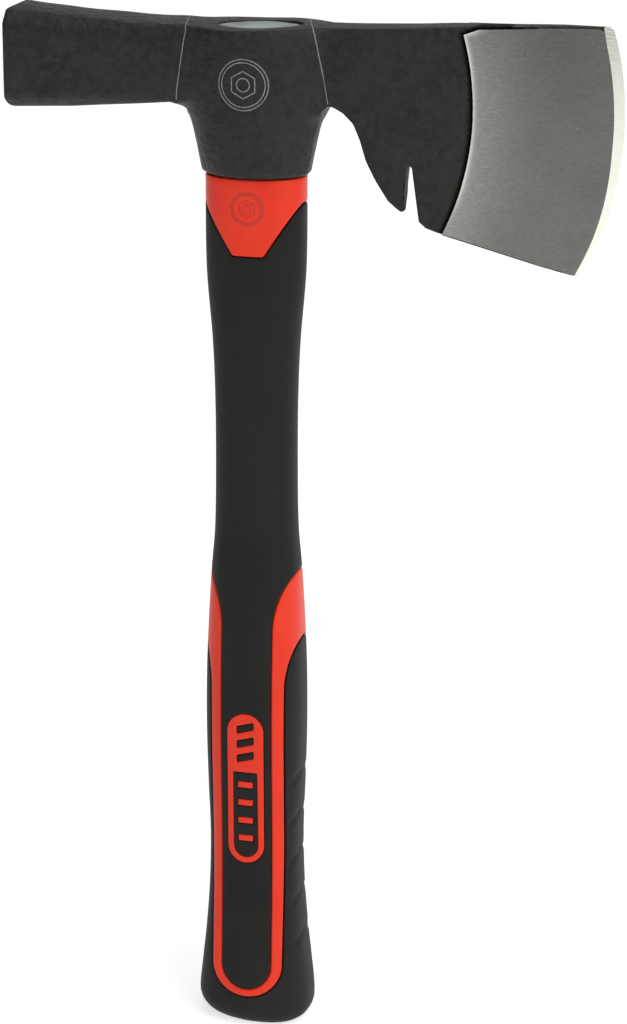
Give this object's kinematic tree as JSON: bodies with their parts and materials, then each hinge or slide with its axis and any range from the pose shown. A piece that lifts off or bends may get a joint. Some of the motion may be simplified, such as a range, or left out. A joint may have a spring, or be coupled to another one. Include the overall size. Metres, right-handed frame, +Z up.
{
  "type": "hatchet",
  "caption": "Hatchet with a forged head: broad ground blade with a nail slot in its underside, chamfered hammer poll, and a moulded grip on a fibreglass core.",
  "frame": {"origin": "on the handle's axis, at the flat end face of the butt", "axes": "+Z up the handle towards the head, +X towards the cutting edge, +Y across the head's thickness"},
  "size_m": [0.1841, 0.0298, 0.3213],
  "materials": {
    "head_steel": "black lacquer over a forged skin, with ground and honed bare steel at the blade",
    "fibreglass": "raw pultruded rod",
    "resin": "cast, slightly glossy",
    "dam_rubber": "matte",
    "red_plastic": "satin moulded",
    "grip_rubber": "fine matte moulded texture"
  },
  "bodies": {
    "root": {"head": "head_steel", "fibreglass_core": "fibreglass", "eye_resin": "resin", "resin_dam": "dam_rubber", "red_jacket": "red_plastic", "neck_sleeve": "grip_rubber", "lower_grip": "grip_rubber", "badge_panel_front": "grip_rubber", "badge_panel_back": "grip_rubber", "badge_bar_front_1": "grip_rubber", "badge_bar_front_2": "grip_rubber", "badge_bar_front_3": "grip_rubber", "badge_bar_back_1": "grip_rubber", "badge_bar_back_2": "grip_rubber", "badge_bar_back_3": "grip_rubber"}
  },
  "joints": []
}
